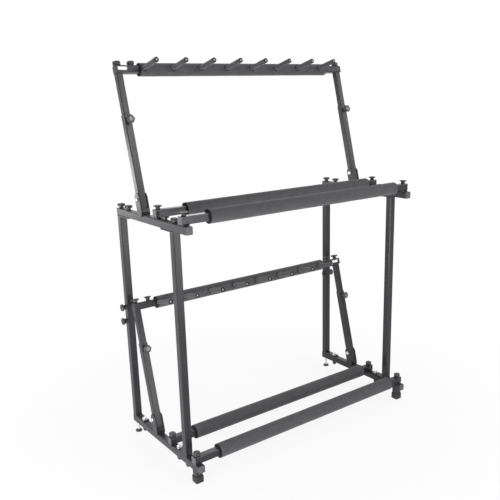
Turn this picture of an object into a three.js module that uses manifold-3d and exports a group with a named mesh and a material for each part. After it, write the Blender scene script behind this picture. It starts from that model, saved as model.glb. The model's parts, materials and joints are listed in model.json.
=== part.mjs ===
// Two-tier racket display stand, in millimetres, +Z up.
// It stands on Z = 0, centred on X and Y, with its front towards -Y.
// Two side frames of square tube carry four padded rest bars. Each tier has a leaning neck rest: two
// telescoping arms, hinged on the rails, and a padded crossbar with a row of pegs.
import * as THREE from 'three';
import { mergeVertices } from 'three/addons/utils/BufferGeometryUtils.js';
import Module from 'manifold-3d';

const wasm = await Module();
wasm.setup();

// Clearances between separate pieces
const seatGap = 0.3;
const holeGap = 0.35;
const slideGap = 0.4;
const overrun = 4;
const weldDepth = 1;

// Square tube
const tubeSide = 25;
const tubeWall = 1.2;
const tubeCorner = 2.6;

// Side frames
const standWidth = 980;
const railLength = 468;
const frontOverhangShare = 0.158;
const uprightLength = 764;
const footHeight = 42;
const endPlateLength = 82;
const endPlateThickness = 3.5;
const plateBoltSpacing = 57;

// Feet
const capWall = 1.8;
const capHeight = 22;
const capFloor = 8;
const levellerDiscDiameter = 25;
const levellerDiscHeight = 8;
const levellerNutDiameter = 15;
const levellerNutHeight = 6;
const levellerReach = 14;

// Rest bars
const frontBarInset = 27;
const rearBarGap = 31.06;
const saddleHeight = { upper: 3.5, lower: 0 };
const saddleFoot = 8;
const barFoamDiameter = { upper: 45, lower: 49 };
const barFoamEndInset = 80;
const barFoamShift = { upper_front: 16, upper_rear: 30, lower_front: 15, lower_rear: 19 };

// Screws
const shankDiameter = 8;
const capNutDiameter = 15;
const capNutHeight = 15;
const plateNutHeight = 8;
const washerDiameter = 19;
const washerHeight = 2;
const uprightBoltDepth = 20;
const barBoltDepth = 8;
const boltHeadDiameter = 14;
const boltHeadHeight = 5;

// Knobs: a round head on a thinner collar
const barKnob = { head: 29, headHeight: 5.5, collar: 14, collarHeight: 7 };
const squatKnob = { head: 24, headHeight: 11, collar: 18, collarHeight: 3.5 };
const lowKnob = { head: 24, headHeight: 11.5, collar: 19, collarHeight: 3 };
const mushroomKnob = { head: 27, headHeight: 6, collar: 14, collarHeight: 9 };
const lockKnob = { head: 28, headHeight: 8, collar: 15, collarHeight: 14 };
const plateKnob = { head: 25, headHeight: 7, collar: 14, collarHeight: 8 };
const blockKnob = { head: 21, headHeight: 13, collar: 17, collarHeight: 2 };
const sideKnob = { head: 26, headHeight: 9, collar: 17, collarHeight: 10 };
const knobBevel = 1.6;

// Side knobs on the rear uprights, above the floor
const sideKnobHeight = 445;
const sideKnobUpperHeight = 497;
const sideNutDiameter = 16;
const sideNutHeight = 7;

// Hinge brackets of the neck rests
const leanAngle = THREE.MathUtils.degToRad(14.5);
const pivotRearInset = 170.8;
const pivotRise = 48.6;
const earThickness = 3;
const earRadius = 15;
const earCrown = 20;
const earDrop = 9;
const webFoot = 9;
const webRise = 21;
const webThickness = 3;
const pivotHeadDiameter = 15;
const pivotHeadHeight = 5;

// Arms, measured along them from the pivot
const armBelowPivot = 40;
const armAbovePivot = 271.5;
const armPlugLength = 14;
const lockBelowTop = 16;
const riserLength = 270;
const riserPlugLength = 24;
const crossbarReach = { upper: 420.5, lower: 407 };

// Elbows and crossbars
const elbowLength = 80;
const elbowEndPlate = 3;
const elbowForward = 3.5;
const elbowBoltDepth = 15;
const clampFromEnd = 60;
const crossbarEndInset = 24;
const crossbarFoamDiameter = 43;
const crossbarFoamEndInset = { upper: 83.5, lower: 94 };
const crossbarFoamShift = { upper: 1, lower: -6 };

// Pegs
const pegCount = 8;
const pegRowEndInset = 110.6;
const pegRowShift = { upper: -13.7, lower: -18.7 };
const pegReach = 89;
const pegRodDiameter = 8;
const pegFoamDiameter = 16.5;
const pegLift = THREE.MathUtils.degToRad(0);

// Facets
const cornerSteps = 1;
const earSteps = 3;
const roundSteps = 10;
const holeSteps = 8;
const foamSteps = 24;

const steel = new THREE.MeshStandardMaterial({ color: 0x55555c, roughness: 0.5, metalness: 0.35 });
const foam = new THREE.MeshStandardMaterial({ color: 0x404043, roughness: 0.95, metalness: 0 });
const plastic = new THREE.MeshStandardMaterial({ color: 0x1c1c1e, roughness: 0.45, metalness: 0 });
const rubber = new THREE.MeshStandardMaterial({ color: 0x18181a, roughness: 0.85, metalness: 0 });
const zinc = new THREE.MeshStandardMaterial({ color: 0x9a9ca0, roughness: 0.35, metalness: 0.9 });

// Places in the stand
const frameX = (standWidth - tubeSide) / 2;
const railFront = -railLength / 2;
const frontPlateY = railFront + railLength * frontOverhangShare;
const frontUprightY = frontPlateY + tubeSide / 2;
const rearUprightY = railLength / 2 - tubeSide / 2;
const bottomRailZ = footHeight;
const topRailZ = bottomRailZ + tubeSide + uprightLength;
const barY = { front: railFront + frontBarInset, rear: frontPlateY + endPlateLength + rearBarGap };
const pivotY = railLength / 2 - pivotRearInset;
const pegPitch = (standWidth - 2 * pegRowEndInset) / (pegCount - 1);
const tiers = [
  { name: 'upper', railZ: topRailZ, barKnob, elbowKnob: lowKnob },
  { name: 'lower', railZ: bottomRailZ, barKnob: squatKnob, elbowKnob: mushroomKnob },
];
const sides = [
  { name: 'left', sign: -1 },
  { name: 'right', sign: 1 },
];
const sideKnobs = {
  left: [
    { name: 'side_knob_left', height: sideKnobHeight },
    { name: 'side_knob_left_high', height: sideKnobUpperHeight },
  ],
  right: [{ name: 'side_knob_right', height: sideKnobHeight }],
};

// Sizes that follow from a fit
const tubeHalf = tubeSide / 2;
const shankHole = shankDiameter + 2 * holeGap;
const innerSide = tubeSide - 2 * tubeWall - 2 * slideGap;

// Turns an outline drawn in Y and Z, with its depth along X
const sideView = new THREE.Matrix4().makeBasis(
  new THREE.Vector3(0, 1, 0), new THREE.Vector3(0, 0, 1), new THREE.Vector3(1, 0, 0),
);

const stand = new THREE.Group();

// Solids: plain closed geometries, joined and cut
function weld(geometry) {
  const bare = geometry.index ? geometry.toNonIndexed() : geometry.clone();
  bare.deleteAttribute('normal');
  bare.deleteAttribute('uv');
  const merged = mergeVertices(bare);
  const corners = Array.from(merged.index.array);
  const kept = [];
  for (let i = 0; i < corners.length; i += 3) {
    const [a, b, c] = corners.slice(i, i + 3);
    if (a !== b && b !== c && c !== a) kept.push(a, b, c);
  }
  merged.setIndex(kept);
  return merged;
}

function toSolid(geometry) {
  const welded = weld(geometry);
  return new wasm.Manifold(new wasm.Mesh({
    numProp: 3,
    vertProperties: new Float32Array(welded.attributes.position.array),
    triVerts: new Uint32Array(welded.index.array),
  }));
}

function toGeometry(solid) {
  const mesh = solid.getMesh();
  const geometry = new THREE.BufferGeometry();
  geometry.setAttribute('position', new THREE.BufferAttribute(new Float32Array(mesh.vertProperties), 3));
  geometry.setIndex(new THREE.BufferAttribute(new Uint32Array(mesh.triVerts), 1));
  return geometry;
}

function build(joined, cuts = []) {
  let solid = toSolid(joined[0]);
  for (const piece of joined.slice(1)) solid = solid.add(toSolid(piece));
  for (const piece of cuts) solid = solid.subtract(toSolid(piece));
  return toGeometry(solid);
}

function addPiece(parent, name, geometry, material, x = 0, y = 0, z = 0) {
  geometry.computeVertexNormals();
  const mesh = new THREE.Mesh(geometry, material);
  mesh.name = name;
  mesh.position.set(x, y, z);
  parent.add(mesh);
  return mesh;
}

// Basic shapes
function squarePath(path, side, corner) {
  const half = side / 2;
  const flat = half - corner;
  path.moveTo(half, -flat);
  path.absarc(flat, flat, corner, 0, Math.PI / 2, false);
  path.absarc(-flat, flat, corner, Math.PI / 2, Math.PI, false);
  path.absarc(-flat, -flat, corner, Math.PI, 3 * Math.PI / 2, false);
  path.absarc(flat, -flat, corner, 3 * Math.PI / 2, 2 * Math.PI, false);
  path.closePath();
  return path;
}

function stretched(shape, depth) {
  return new THREE.ExtrudeGeometry(shape, { depth, bevelEnabled: false, curveSegments: cornerSteps });
}

function squareTube(side, length) {
  const shape = squarePath(new THREE.Shape(), side, tubeCorner);
  const bore = side / 2 - tubeWall;
  const corners = [[-1, -1], [1, -1], [1, 1], [-1, 1]];
  shape.holes.push(new THREE.Path(corners.map(([x, y]) => new THREE.Vector2(x * bore, y * bore))));
  return stretched(shape, length);
}

function squareBar(side, length, corner = tubeCorner) {
  return stretched(squarePath(new THREE.Shape(), side, corner), length);
}

function block(sizeX, sizeY, sizeZ, x = 0, y = 0, z = 0) {
  return new THREE.BoxGeometry(sizeX, sizeY, sizeZ).translate(x, y, z);
}

function rod(diameter, length, steps = holeSteps) {
  const radius = diameter / 2;
  const geometry = new THREE.CylinderGeometry(radius, radius, length, steps);
  return geometry.rotateX(Math.PI / 2).translate(0, 0, length / 2);
}

function alongX(geometry, length) {
  return geometry.rotateY(Math.PI / 2).translate(-length / 2, 0, 0);
}

function alongY(geometry, length) {
  return geometry.rotateX(-Math.PI / 2).translate(0, -length / 2, 0);
}

// A knob stands on Z = 0, and its shank goes down from there
function knobGeometry(knob, shankLength) {
  const headFoot = knob.collarHeight;
  const headTop = headFoot + knob.headHeight;
  const head = knob.head / 2;
  const shank = shankDiameter / 2;
  const profile = [
    [0, -shankLength], [shank, -shankLength], [shank, 0], [knob.collar / 2, 0], [knob.collar / 2, headFoot],
    [head, headFoot], [head, headTop - knobBevel], [head - knobBevel, headTop], [0, headTop],
  ].map(([radius, height]) => new THREE.Vector2(radius, height));
  return new THREE.LatheGeometry(profile, roundSteps).rotateX(Math.PI / 2);
}

// A domed nut hangs from Z = 0, under its washer
function capNutGeometry(nutHeight) {
  const nut = capNutDiameter / 2;
  const washer = washerDiameter / 2;
  const domeShares = [[1, 0.6], [0.75, 0.9], [0, 1]];
  const profile = domeShares.map(([radiusShare, heightShare]) => (
    new THREE.Vector2(nut * radiusShare, -washerHeight - nutHeight * heightShare)
  )).reverse();
  profile.push(new THREE.Vector2(nut, -washerHeight), new THREE.Vector2(washer, -washerHeight));
  profile.push(new THREE.Vector2(washer, 0), new THREE.Vector2(0, 0));
  return new THREE.LatheGeometry(profile, roundSteps).rotateX(Math.PI / 2);
}

// Rails: tube, hinge bracket, the screws that hold the uprights, and holes for the bar knobs.
// A rail's own frame has its origin in the middle of the tube.
function earOutline() {
  const crown = earCrown - earRadius;
  const topY = pivotY + crown * Math.sin(leanAngle);
  const topZ = tubeHalf + pivotRise + crown * Math.cos(leanAngle);
  const footZ = tubeHalf - earDrop + earRadius;
  const footY = topY - (topZ - footZ) * Math.tan(leanAngle);
  const shape = new THREE.Shape();
  shape.absarc(topY, topZ, earRadius, -leanAngle, Math.PI - leanAngle, false);
  shape.absarc(footY, footZ, earRadius, Math.PI - leanAngle, 2 * Math.PI - leanAngle, false);
  shape.closePath();
  return shape;
}

function earPlate(sign) {
  const thickness = earThickness + slideGap;
  const plate = new THREE.ExtrudeGeometry(earOutline(), {
    depth: thickness, bevelEnabled: false, curveSegments: earSteps,
  });
  plate.applyMatrix4(sideView);
  return plate.translate(sign > 0 ? tubeHalf : -tubeHalf - thickness, 0, 0);
}

function hingeWeb() {
  const armFoot = pivotY - tubeHalf * Math.cos(leanAngle) - armBelowPivot * Math.sin(leanAngle);
  const y = armFoot - seatGap - webThickness / 2;
  const width = tubeSide + 2 * slideGap + earThickness;
  return block(width, webThickness, webRise - webFoot, 0, y, tubeHalf + (webFoot + webRise) / 2);
}

function hingeBracket() {
  const pocketWidth = tubeSide + 2 * slideGap;
  const pocketHeight = pivotRise + 2 * earCrown;
  const pocketDepth = 2 * (armBelowPivot + earRadius);
  const pocketZ = tubeHalf + pocketHeight / 2;
  const pocket = block(pocketWidth, pocketDepth, pocketHeight, 0, pivotY, pocketZ);
  const ears = build([earPlate(-1), earPlate(1)], [pocket]);
  return build([ears, hingeWeb()]);
}

function pivotHole() {
  const length = tubeSide + 2 * (slideGap + earThickness + overrun);
  return alongX(rod(shankHole, length), length).translate(0, pivotY, tubeHalf + pivotRise);
}

function barKnobHoles() {
  return Object.values(barY).map((y) => rod(shankHole, tubeHalf + overrun).translate(0, y, 0));
}

// Knobs on a top rail: their screws end in the end plate, or in the upright behind it
function topRailScrews() {
  const plateReach = tubeSide + seatGap + endPlateThickness;
  const reach = plateReach + uprightBoltDepth;
  return [
    knobGeometry(blockKnob, reach).translate(0, frontUprightY, tubeHalf),
    knobGeometry(plateKnob, reach).translate(0, rearUprightY, tubeHalf),
    knobGeometry(plateKnob, plateReach).translate(0, frontUprightY + plateBoltSpacing, tubeHalf),
    knobGeometry(plateKnob, plateReach).translate(0, rearUprightY - plateBoltSpacing, tubeHalf),
  ];
}

// A bolt through a bottom rail and the end plate on it, with a domed nut at each end
function plateBolt(y, seatZ) {
  const length = seatZ + tubeHalf + 2 * weldDepth;
  return [
    rod(shankDiameter, length).translate(0, y, -tubeHalf - weldDepth),
    capNutGeometry(plateNutHeight).rotateX(Math.PI).translate(0, y, seatZ),
    capNutGeometry(capNutHeight).translate(0, y, -tubeHalf),
  ];
}

function bottomRailScrews() {
  const seatZ = tubeHalf + endPlateThickness + 2 * seatGap;
  const innerFace = tubeHalf - tubeWall;
  const headFoot = innerFace - boltHeadHeight;
  const reach = boltHeadHeight + tubeWall + seatGap + endPlateThickness + uprightBoltDepth;
  const frontReach = tubeSide + seatGap + endPlateThickness + uprightBoltDepth;
  return [
    rod(shankDiameter, frontReach).translate(0, frontUprightY, -tubeHalf),
    capNutGeometry(capNutHeight).translate(0, frontUprightY, -tubeHalf),
    rod(shankDiameter, reach).translate(0, rearUprightY, headFoot),
    rod(boltHeadDiameter, boltHeadHeight + tubeWall / 2).translate(0, rearUprightY, headFoot),
    ...plateBolt(frontUprightY + plateBoltSpacing, seatZ),
    ...plateBolt(rearUprightY - plateBoltSpacing, seatZ),
  ];
}

function footStub() {
  const length = footHeight - capFloor - seatGap + tubeWall / 2;
  const z = -tubeHalf + tubeWall / 2 - length;
  return squareTube(tubeSide, length).translate(0, barY.front, z);
}

function levellerHole() {
  return rod(shankHole, tubeHalf + overrun).translate(0, rearUprightY, -tubeHalf - overrun);
}

function addRails(side) {
  const tube = () => alongY(squareTube(tubeSide, railLength), railLength);
  const bottom = build(
    [tube(), hingeBracket(), footStub(), ...bottomRailScrews()],
    [pivotHole(), levellerHole(), ...barKnobHoles()],
  );
  const top = build([tube(), hingeBracket(), ...topRailScrews()], [pivotHole(), ...barKnobHoles()]);
  const x = side.sign * frameX;
  addPiece(stand, `bottom_rail_${side.name}`, bottom, steel, x, 0, bottomRailZ + tubeHalf);
  addPiece(stand, `top_rail_${side.name}`, top, steel, x, 0, topRailZ + tubeHalf);
}

// Uprights: tube with an end plate at each end. The frame has its origin in the middle of the foot.
function endPlate(inward, z) {
  const y = inward * (endPlateLength - tubeSide) / 2;
  return block(tubeSide, endPlateLength, endPlateThickness, 0, y, z + endPlateThickness / 2);
}

function plateHoles(inward, z) {
  const length = endPlateThickness + 2 * overrun;
  return [0, inward * plateBoltSpacing].map((y) => rod(shankHole, length).translate(0, y, z - overrun));
}

function uprightGeometry(inward, nuts = [], nutHoles = []) {
  const lowPlate = seatGap;
  const highPlate = uprightLength - seatGap - endPlateThickness;
  const tubeFoot = lowPlate + endPlateThickness - weldDepth;
  const tube = squareTube(tubeSide, highPlate + weldDepth - tubeFoot).translate(0, 0, tubeFoot);
  return build(
    [tube, endPlate(inward, lowPlate), endPlate(inward, highPlate), ...nuts],
    [...plateHoles(inward, lowPlate), ...plateHoles(inward, highPlate), ...nutHoles],
  );
}

function sideNut(sign, z) {
  const nut = rod(sideNutDiameter, sideNutHeight + tubeWall / 2);
  return nut.rotateY(-sign * Math.PI / 2).translate(-sign * (tubeHalf - tubeWall / 2), 0, z);
}

function sideHole(sign, z) {
  const length = tubeSide + overrun + sideNutHeight / 2;
  return rod(shankHole, length).rotateY(-sign * Math.PI / 2).translate(sign * (tubeHalf + overrun), 0, z);
}

function addUprights(side) {
  const footZ = bottomRailZ + tubeSide;
  const x = side.sign * frameX;
  const heights = sideKnobs[side.name].map((knob) => knob.height - footZ);
  const rear = uprightGeometry(
    -1,
    heights.map((z) => sideNut(side.sign, z)),
    heights.map((z) => sideHole(side.sign, z)),
  );
  addPiece(stand, `front_upright_${side.name}`, uprightGeometry(1), steel, x, frontUprightY, footZ);
  addPiece(stand, `rear_upright_${side.name}`, rear, steel, x, rearUprightY, footZ);
}

function addSideKnobs(side) {
  for (const { name, height } of sideKnobs[side.name]) {
    const knob = knobGeometry(sideKnob, tubeSide + seatGap + sideNutHeight / 4);
    knob.rotateY(side.sign * Math.PI / 2);
    addPiece(stand, name, knob, plastic, side.sign * (frameX + tubeHalf + seatGap), rearUprightY, height);
  }
}

// Feet: a rubber cap on each front stub, and a levelling foot under each rear upright
function addFeet(side) {
  const pocketSide = tubeSide + 2 * seatGap;
  const cap = build(
    [squareBar(pocketSide + 2 * capWall, capHeight)],
    [squareBar(pocketSide, capHeight).translate(0, 0, capFloor)],
  );
  const x = side.sign * frameX;
  const stemLength = footHeight + levellerReach - levellerDiscHeight + weldDepth;
  const leveller = build([
    rod(levellerDiscDiameter, levellerDiscHeight, roundSteps),
    rod(shankDiameter, stemLength).translate(0, 0, levellerDiscHeight - weldDepth),
    rod(levellerNutDiameter, levellerNutHeight, roundSteps)
      .translate(0, 0, footHeight - seatGap - levellerNutHeight),
  ]);
  addPiece(stand, `front_foot_cap_${side.name}`, cap, rubber, x, barY.front, 0);
  addPiece(stand, `rear_leveller_${side.name}`, leveller, zinc, x, rearUprightY, 0);
}

// Rest bars: square tube and a foam sleeve. A saddle with four feet lifts each end of an upper bar,
// and the lower bars lie on the rails.
function saddles(tier) {
  if (saddleHeight[tier.name] === 0) return [];
  const aside = (tubeSide - saddleFoot) / 2;
  const height = saddleHeight[tier.name] + tubeWall / 2;
  const z = -tubeHalf + tubeWall / 2 - height / 2;
  const corners = [[-aside, -aside], [aside, -aside], [aside, aside], [-aside, aside]];
  return [-frameX, frameX].flatMap((x) => corners.map(([acrossX, acrossY]) => (
    block(saddleFoot, saddleFoot, height, x + acrossX, acrossY, z)
  )));
}

function barHoles() {
  const length = tubeSide + 2 * overrun;
  return [-frameX, frameX].map((x) => rod(shankHole, length).translate(x, 0, -length / 2));
}

function foamSleeve(diameter, coreSide, length) {
  const bore = squareBar(coreSide + 2 * seatGap, length + 2 * overrun);
  return build(
    [alongX(rod(diameter, length, foamSteps), length)],
    [alongX(bore, length + 2 * overrun)],
  );
}

function addBar(tier, row) {
  const lift = seatGap + saddleHeight[tier.name];
  const z = tier.railZ + tubeSide + lift + tubeHalf;
  const tube = alongX(squareTube(tubeSide, standWidth), standWidth);
  const bar = build([tube, ...saddles(tier)], barHoles());
  const name = `${tier.name}_${row}_bar`;
  addPiece(stand, name, bar, steel, 0, barY[row], z);
  const sleeveLength = standWidth - 2 * barFoamEndInset;
  const sleeve = foamSleeve(barFoamDiameter[tier.name], tubeSide, sleeveLength);
  addPiece(stand, `${name}_foam`, sleeve, foam, barFoamShift[`${tier.name}_${row}`], barY[row], z);
  const reach = seatGap + tubeSide + lift + barBoltDepth;
  const seatZ = z + tubeHalf + seatGap;
  for (const side of sides) {
    const knob = knobGeometry(tier.barKnob, reach);
    const knobName = `${tier.name}_${row}_knob_${side.name}`;
    addPiece(stand, knobName, knob, plastic, side.sign * frameX, barY[row], seatZ);
  }
}

// Pivot bolts: head outside, nut inside, through both ears
function addPivotBolt(tier, side) {
  const grip = tubeSide + 2 * (slideGap + earThickness + seatGap);
  const length = grip + 2 * pivotHeadHeight;
  const end = (place) => alongX(rod(pivotHeadDiameter, pivotHeadHeight, roundSteps), pivotHeadHeight)
    .translate(place * (grip + pivotHeadHeight) / 2, 0, 0);
  const bolt = build([alongX(rod(shankDiameter, length), length), end(-1), end(1)]);
  const z = tier.railZ + tubeSide + pivotRise;
  addPiece(stand, `${tier.name}_pivot_bolt_${side.name}`, bolt, zinc, side.sign * frameX, pivotY, z);
}

// Arms: an outer tube on the pivot and a riser that slides in it.
// The neck rest's own frame has its origin on the pivot line and its Z axis along the arms.
function armGeometry() {
  const length = armBelowPivot + armAbovePivot;
  const plugSide = tubeSide - tubeWall;
  const pivotBore = tubeSide + 2 * overrun;
  const lockZ = armAbovePivot - lockBelowTop;
  return build(
    [
      squareTube(tubeSide, length).translate(0, 0, -armBelowPivot),
      block(plugSide, plugSide, armPlugLength, 0, 0, armPlugLength / 2 - armBelowPivot),
    ],
    [
      alongX(rod(shankHole, pivotBore), pivotBore),
      rod(shankHole, tubeHalf + overrun).rotateX(Math.PI / 2).translate(0, 0, lockZ),
    ],
  );
}

function riserGeometry() {
  const plugSide = innerSide - tubeWall;
  return build(
    [
      squareTube(innerSide, riserLength),
      block(plugSide, plugSide, riserPlugLength, 0, 0, riserLength - riserPlugLength / 2),
    ],
    [rod(shankHole, riserPlugLength).translate(0, 0, riserLength - elbowBoltDepth - overrun)],
  );
}

function addArms(rest, tier, side) {
  const x = side.sign * frameX;
  const riserFoot = crossbarReach[tier.name] - tubeHalf - seatGap - riserLength;
  const lock = knobGeometry(lockKnob, seatGap + tubeWall).rotateX(Math.PI / 2);
  const lockZ = armAbovePivot - lockBelowTop;
  addPiece(rest, `${tier.name}_arm_${side.name}`, armGeometry(), steel, x);
  addPiece(rest, `${tier.name}_riser_${side.name}`, riserGeometry(), steel, x, 0, riserFoot);
  addPiece(rest, `${tier.name}_lock_knob_${side.name}`, lock, plastic, x, -tubeHalf - seatGap, lockZ);
}

// Elbows: a square sleeve, closed at its outer end and screwed down on the riser.
// Its own frame has the origin in the middle of the sleeve.
function elbowGeometry(tier, side) {
  const outer = side.sign * elbowLength / 2;
  const screwX = outer - side.sign * tubeHalf;
  const clampX = outer - side.sign * clampFromEnd;
  const screwReach = tubeSide + seatGap + elbowBoltDepth;
  const plateX = outer - side.sign * elbowEndPlate / 2;
  const plateSide = tubeSide - tubeWall;
  return build(
    [
      alongX(squareTube(tubeSide, elbowLength), elbowLength),
      block(elbowEndPlate, plateSide, plateSide, plateX),
      knobGeometry(tier.elbowKnob, screwReach).translate(screwX, elbowForward, tubeHalf),
    ],
    [rod(shankHole, tubeSide).translate(clampX, 0, 0)],
  );
}

function addElbow(rest, tier, side) {
  const x = side.sign * (standWidth - elbowLength) / 2;
  const z = crossbarReach[tier.name];
  addPiece(rest, `${tier.name}_elbow_${side.name}`, elbowGeometry(tier, side), steel, x, -elbowForward, z);
  const clamp = knobGeometry(tier.elbowKnob, seatGap + tubeWall);
  const clampX = side.sign * (standWidth / 2 - clampFromEnd);
  const clampZ = z + tubeHalf + seatGap;
  addPiece(rest, `${tier.name}_clamp_knob_${side.name}`, clamp, plastic, clampX, -elbowForward, clampZ);
}

// Crossbar: square tube with a row of rods welded to its front, and foam on the tube and on each rod
function pegPlaces(tier) {
  return Array.from({ length: pegCount }, (_, i) => (
    pegRowShift[tier.name] + (i - (pegCount - 1) / 2) * pegPitch
  ));
}

function pegRod(diameter, fromY, toY, x) {
  const length = (fromY - toY) / Math.cos(pegLift);
  const rise = -fromY * Math.tan(pegLift);
  return rod(diameter, length).rotateX(Math.PI / 2 - pegLift).translate(x, fromY, rise);
}

function addCrossbar(rest, tier) {
  const length = standWidth - 2 * crossbarEndInset;
  const places = pegPlaces(tier);
  const foamFront = -crossbarFoamDiameter / 2;
  const tip = foamFront - pegReach * Math.cos(pegLift);
  const rodFoot = -innerSide / 2 + tubeWall / 2;
  const foamLength = standWidth - 2 * crossbarFoamEndInset[tier.name];
  const tube = foamSleeve(crossbarFoamDiameter, innerSide, foamLength);
  const bar = build([
    alongX(squareTube(innerSide, length), length),
    ...places.map((x) => pegRod(pegRodDiameter, rodFoot, tip, x)),
  ]);
  const sleeve = build(
    [
      tube.translate(crossbarFoamShift[tier.name], 0, 0),
      ...places.map((x) => pegRod(pegFoamDiameter, foamFront + overrun, tip, x)),
    ],
    places.map((x) => pegRod(pegRodDiameter + 2 * holeGap, rodFoot, tip - overrun, x)),
  );
  const z = crossbarReach[tier.name];
  addPiece(rest, `${tier.name}_crossbar`, bar, steel, 0, -elbowForward, z);
  addPiece(rest, `${tier.name}_crossbar_foam`, sleeve, foam, 0, -elbowForward, z);
}

function addNeckRest(tier) {
  const rest = new THREE.Group();
  rest.position.set(0, pivotY, tier.railZ + tubeSide + pivotRise);
  rest.rotation.x = -leanAngle;
  for (const side of sides) {
    addArms(rest, tier, side);
    addElbow(rest, tier, side);
  }
  addCrossbar(rest, tier);
  stand.add(rest);
}

for (const side of sides) {
  addRails(side);
  addUprights(side);
  addSideKnobs(side);
  addFeet(side);
}
for (const tier of tiers) {
  for (const row of Object.keys(barY)) addBar(tier, row);
  for (const side of sides) addPivotBolt(tier, side);
  addNeckRest(tier);
}

export default stand;
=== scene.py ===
import json
import math

import bmesh
import bpy
from mathutils import Matrix, Vector


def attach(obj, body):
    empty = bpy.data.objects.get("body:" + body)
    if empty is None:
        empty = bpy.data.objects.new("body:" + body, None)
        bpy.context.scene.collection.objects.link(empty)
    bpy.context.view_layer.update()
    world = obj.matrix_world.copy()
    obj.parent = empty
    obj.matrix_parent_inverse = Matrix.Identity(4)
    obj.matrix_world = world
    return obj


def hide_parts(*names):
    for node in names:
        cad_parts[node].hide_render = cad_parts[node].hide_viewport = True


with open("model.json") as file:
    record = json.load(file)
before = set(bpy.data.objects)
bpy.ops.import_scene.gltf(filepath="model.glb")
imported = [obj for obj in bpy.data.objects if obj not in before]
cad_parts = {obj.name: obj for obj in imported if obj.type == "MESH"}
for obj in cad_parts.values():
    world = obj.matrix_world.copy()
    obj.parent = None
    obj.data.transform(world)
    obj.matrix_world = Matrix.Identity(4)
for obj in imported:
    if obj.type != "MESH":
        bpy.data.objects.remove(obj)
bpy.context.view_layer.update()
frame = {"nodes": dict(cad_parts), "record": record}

MM = 0.001

# Sizes of the stand in millimetres, as in its CAD source
TUBE = 25
TUBE_CORNER = 2.6
INNER_TUBE = 21.8
SEAT_GAP = 0.3
THREAD_PITCH = 1.25

# Side frames: their middle, the length and height of the rails, and what stands on them
FRAME_X = 477.5
RAIL_HALF_LENGTH = 234
RAIL_Z = {"lower": 54.5, "upper": 843.5}
UPRIGHT_Y = {"front": -147.6, "rear": 221.5}
PLATE_SCREW_Y = {"front": -90.6, "rear": 164.5}
END_PLATE_TOP = 71.1
BRACKET_SEAT_Y = 57
SIDE_KNOBS = (
    ("side_knob_left", "left", 445), ("side_knob_left_high", "left", 497),
    ("side_knob_right", "right", 445),
)

# Rest bars and their foam sleeves
STAND_HALF_WIDTH = 490
BAR_Y = {"front": -207, "rear": -47}
BAR_Z = {"lower": 79.8, "upper": 872.3}
BAR_SLEEVE = {"lower": 49, "upper": 45}
BAR_SLEEVE_LENGTH = 820
SADDLE_HEIGHT = 3.5
SADDLE_FOOT = 8.5

# Neck rests: pivots, lean, the distances along the arms, and the crossbars with their pegs
PIVOT_Y = 63.2
PIVOT_Z = {"lower": 115.6, "upper": 904.6}
PIVOT_HEAD_SEAT = 16.2
LEAN = math.radians(14.5)
LOCK_HEIGHT = 255.5
ARM_TOP = 271.5
CROSSBAR_REACH = {"lower": 407, "upper": 420.5}
CROSSBAR_FORWARD = 3.5
CLAMP_X = 430
CROSSBAR_SLEEVE = 43
CROSSBAR_SLEEVE_LENGTH = {"upper": 812, "lower": 791}
PEG_SLEEVE = 16.5
PEG_SLEEVE_START = 16
PEG_TIP = 110.5
PEG_POCKET = [(10.6, 0), (11.4, 10)]
PEG_POCKET_START = 16.5
PEG_PLACES = {
    "lower": [-18.7 + (i - 3.5) * 108.4 for i in range(8)],
    "upper": [-13.7 + (i - 3.5) * 108.4 for i in range(8)],
}

# How far each sleeve sits to the right of the middle
SLEEVE_SHIFT = {
    "upper_front": 16, "upper_rear": 30, "lower_front": 15, "lower_rear": 19,
    "upper_crossbar": 1, "lower_crossbar": -6,
}

SIDES = {"left": -1, "right": 1}
TIERS = ("lower", "upper")

# The photograph's frame, and its focal length and middle in pixels
PHOTO_SIDE = 500
FOCAL_LENGTH = 654.43
FRAME_SHIFT = (-12, 15.3)
SENSOR_WIDTH = 36

# Ways a piece can face when it was modelled standing up
DOWN = Matrix.Rotation(math.pi, 4, "X")
FORWARD = Matrix.Rotation(math.pi / 2, 4, "X")
BACKWARD = Matrix.Rotation(-math.pi / 2, 4, "X")
TO_LEFT = Matrix.Rotation(-math.pi / 2, 4, "Y")
TO_RIGHT = Matrix.Rotation(math.pi / 2, 4, "Y")
OUTWARD = {"left": TO_LEFT, "right": TO_RIGHT}
INWARD = {"left": TO_RIGHT, "right": TO_LEFT}


def at(x, y, z):
    return Matrix.Translation(Vector((x, y, z)) * MM)


def on_neck_rest(tier):
    """The neck rest's own frame: origin on its pivot line, Z along the arms."""
    return at(0, PIVOT_Y, PIVOT_Z[tier]) @ Matrix.Rotation(-LEAN, 4, "X")


# Materials


def hex_colour(code):
    """An sRGB hex value as linear colour."""
    channels = [int(code[i:i + 2], 16) / 255 for i in (1, 3, 5)]
    return [c / 12.92 if c <= 0.04045 else ((c + 0.055) / 1.055) ** 2.4 for c in channels] + [1]


def add_node(tree, kind, settings=None, links=None, stops=()):
    """Adds a node. Settings are its own properties or its inputs' values, links feed its inputs, and
    stops are the places and the sRGB values of a colour ramp."""
    node = tree.nodes.new(kind)
    for name, value in (settings or {}).items():
        if isinstance(name, str) and hasattr(node, name):
            setattr(node, name, value)
        else:
            node.inputs[name].default_value = value
    for name, output in (links or {}).items():
        tree.links.new(output, node.inputs[name])
    for number, (place, code) in enumerate(stops):
        element = node.color_ramp.elements[number]
        element.position, element.color = place, hex_colour(code)
    return node


def new_material(name):
    """A new material, its node tree, and the Object coordinates that its pattern reads."""
    material = bpy.data.materials.new(name)
    material.use_nodes = True
    tree = material.node_tree
    tree.nodes.clear()
    return material, tree, add_node(tree, "ShaderNodeTexCoord").outputs["Object"]


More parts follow.
